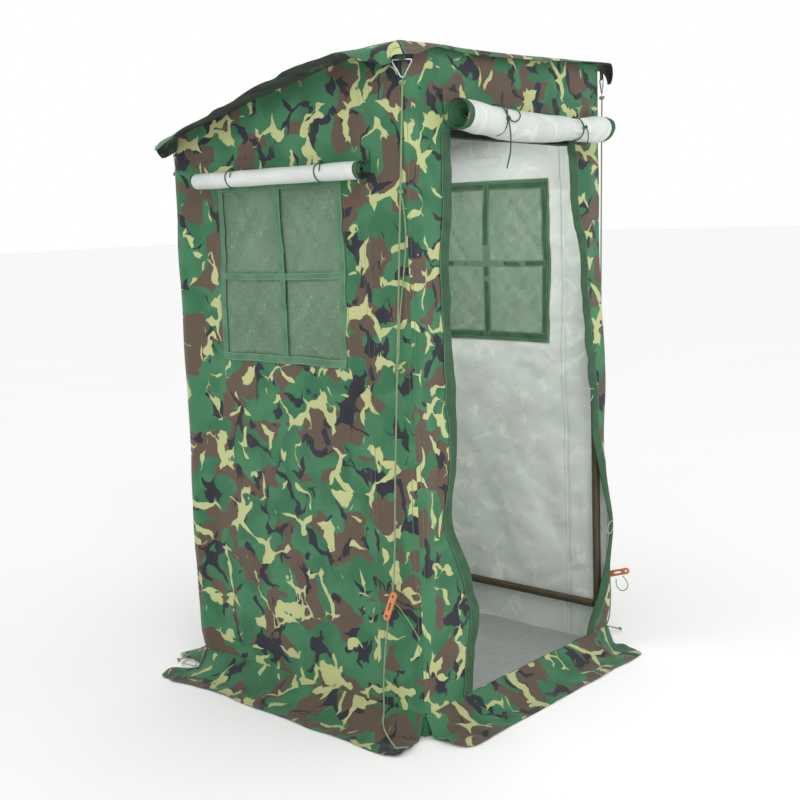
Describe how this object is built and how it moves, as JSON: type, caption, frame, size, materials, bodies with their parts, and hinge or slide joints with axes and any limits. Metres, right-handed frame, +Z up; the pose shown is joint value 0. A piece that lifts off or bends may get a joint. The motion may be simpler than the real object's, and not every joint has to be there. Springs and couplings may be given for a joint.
{
  "type": "camouflage watch cabin",
  "caption": "Upright one-person camouflage cloth hide on a tube frame, with a rolled door flap, mesh side windows under rolled covers, ground skirts and corner guy ropes.",
  "frame": {"origin": "on the ground at the middle of the plan", "axes": "+Z up, the doorway faces -Y, +X to the right of someone looking in through the doorway"},
  "size_m": [1.32, 1.32, 2.022],
  "materials": {
    "camo_cloth": "matt coated polyester cloth printed with a woodland pattern",
    "lining_cloth": "white coated inner face of the cloth",
    "trim_tape": "woven green binding tape",
    "window_mesh": "fine green insect mesh",
    "groundsheet_cloth": "grey coated groundsheet",
    "frame_paint": "dark olive-brown paint, satin",
    "fitting_paint": "dark paint, satin",
    "foot_plastic": "black plastic",
    "ring_wire": "bright zinc-plated wire",
    "guy_cord": "braided light olive cord",
    "tensioner_plastic": "orange-tan moulded plastic"
  },
  "bodies": {
    "cabin": {"leg_lower_front_left": "frame_paint", "leg_upper_front_left": "frame_paint", "corner_fitting_front_left": "fitting_paint", "foot_front_left": "foot_plastic", "leg_lower_front_right": "frame_paint", "leg_upper_front_right": "frame_paint", "corner_fitting_front_right": "fitting_paint", "foot_front_right": "foot_plastic", "leg_lower_rear_left": "frame_paint", "leg_upper_rear_left": "frame_paint", "corner_fitting_rear_left": "fitting_paint", "foot_rear_left": "foot_plastic", "leg_lower_rear_right": "frame_paint", "leg_upper_rear_right": "frame_paint", "corner_fitting_rear_right": "fitting_paint", "foot_rear_right": "foot_plastic", "top_rail_front": "frame_paint", "top_rail_rear": "frame_paint", "top_rail_left": "frame_paint", "top_rail_right": "frame_paint", "low_rail_left": "frame_paint", "low_rail_right": "frame_paint", "low_rail_rear": "frame_paint", "roof_cover": "camo_cloth", "wall_front": "camo_cloth", "wall_rear": "camo_cloth", "wall_left": "camo_cloth", "wall_right": "camo_cloth", "skirt_front": "camo_cloth", "skirt_rear": "camo_cloth", "skirt_left": "camo_cloth", "skirt_right": "camo_cloth", "window_mesh_left": "window_mesh", "window_mesh_right": "window_mesh", "window_tape_left": "trim_tape", "window_tape_right": "trim_tape", "door_binding_left": "trim_tape", "door_binding_right": "trim_tape", "groundsheet": "groundsheet_cloth", "guy_tab_front_left": "trim_tape", "guy_tab_front_right": "trim_tape", "guy_tab_rear_left": "trim_tape", "guy_tab_rear_right": "trim_tape"},
    "door_flap": {"door_roll": "lining_cloth", "door_roll_tie_left": "trim_tape", "door_roll_tie_right": "trim_tape"},
    "window_cover_left": {"window_roll_left": "lining_cloth"},
    "window_cover_right": {"window_roll_right": "lining_cloth"},
    "guy_front_left": {"guy_ring_front_left": "ring_wire", "guy_rope_front_left": "guy_cord"},
    "tensioner_front_left": {"tensioner_front_left": "tensioner_plastic"},
    "guy_front_right": {"guy_ring_front_right": "ring_wire", "guy_rope_front_right": "guy_cord"},
    "tensioner_front_right": {"tensioner_front_right": "tensioner_plastic"},
    "guy_rear_left": {"guy_ring_rear_left": "ring_wire", "guy_rope_rear_left": "guy_cord"},
    "tensioner_rear_left": {"tensioner_rear_left": "tensioner_plastic"},
    "guy_rear_right": {"guy_ring_rear_right": "ring_wire", "guy_rope_rear_right": "guy_cord"},
    "tensioner_rear_right": {"tensioner_rear_right": "tensioner_plastic"}
  },
  "joints": [
    {"name": "door_flap_down", "type": "slide", "parent": "cabin", "child": "door_flap", "axis": [0, 0, -1], "range_m": [0, 1.64]},
    {"name": "window_cover_left_down", "type": "slide", "parent": "cabin", "child": "window_cover_left", "axis": [0, 0, -1], "range_m": [0, 0.6]},
    {"name": "window_cover_right_down", "type": "slide", "parent": "cabin", "child": "window_cover_right", "axis": [0, 0, -1], "range_m": [0, 0.6]},
    {"name": "guy_front_left_swing", "type": "hinge", "parent": "cabin", "child": "guy_front_left", "pos_m": [-0.50495, -0.50495, 1.965], "axis": [-0.7071, 0.7071, 0], "range_deg": [0, 45]},
    {"name": "tensioner_front_left_slide", "type": "slide", "parent": "guy_front_left", "child": "tensioner_front_left", "axis": [0.0173, -0.0588, 0.9981], "range_m": [0, 0.8]},
    {"name": "guy_front_right_swing", "type": "hinge", "parent": "cabin", "child": "guy_front_right", "pos_m": [0.50495, -0.50495, 1.965], "axis": [-0.7071, -0.7071, 0], "range_deg": [0, 45]},
    {"name": "tensioner_front_right_slide", "type": "slide", "parent": "guy_front_right", "child": "tensioner_front_right", "axis": [-0.0146, -0.0298, 0.9995], "range_m": [0, 0.8]},
    {"name": "guy_rear_left_swing", "type": "hinge", "parent": "cabin", "child": "guy_rear_left", "pos_m": [-0.50495, 0.50495, 1.765], "axis": [0.7071, 0.7071, 0], "range_deg": [0, 45]},
    {"name": "tensioner_rear_left_slide", "type": "slide", "parent": "guy_rear_left", "child": "tensioner_rear_left", "axis": [-0.0746, -0.0153, 0.9971], "range_m": [0, 0.8]},
    {"name": "guy_rear_right_swing", "type": "hinge", "parent": "cabin", "child": "guy_rear_right", "pos_m": [0.50495, 0.50495, 1.765], "axis": [0.7071, -0.7071, 0], "range_deg": [0, 45]},
    {"name": "tensioner_rear_right_slide", "type": "slide", "parent": "guy_rear_right", "child": "tensioner_rear_right", "axis": [0.0746, -0.0153, 0.9971], "range_m": [0, 0.8]}
  ]
}
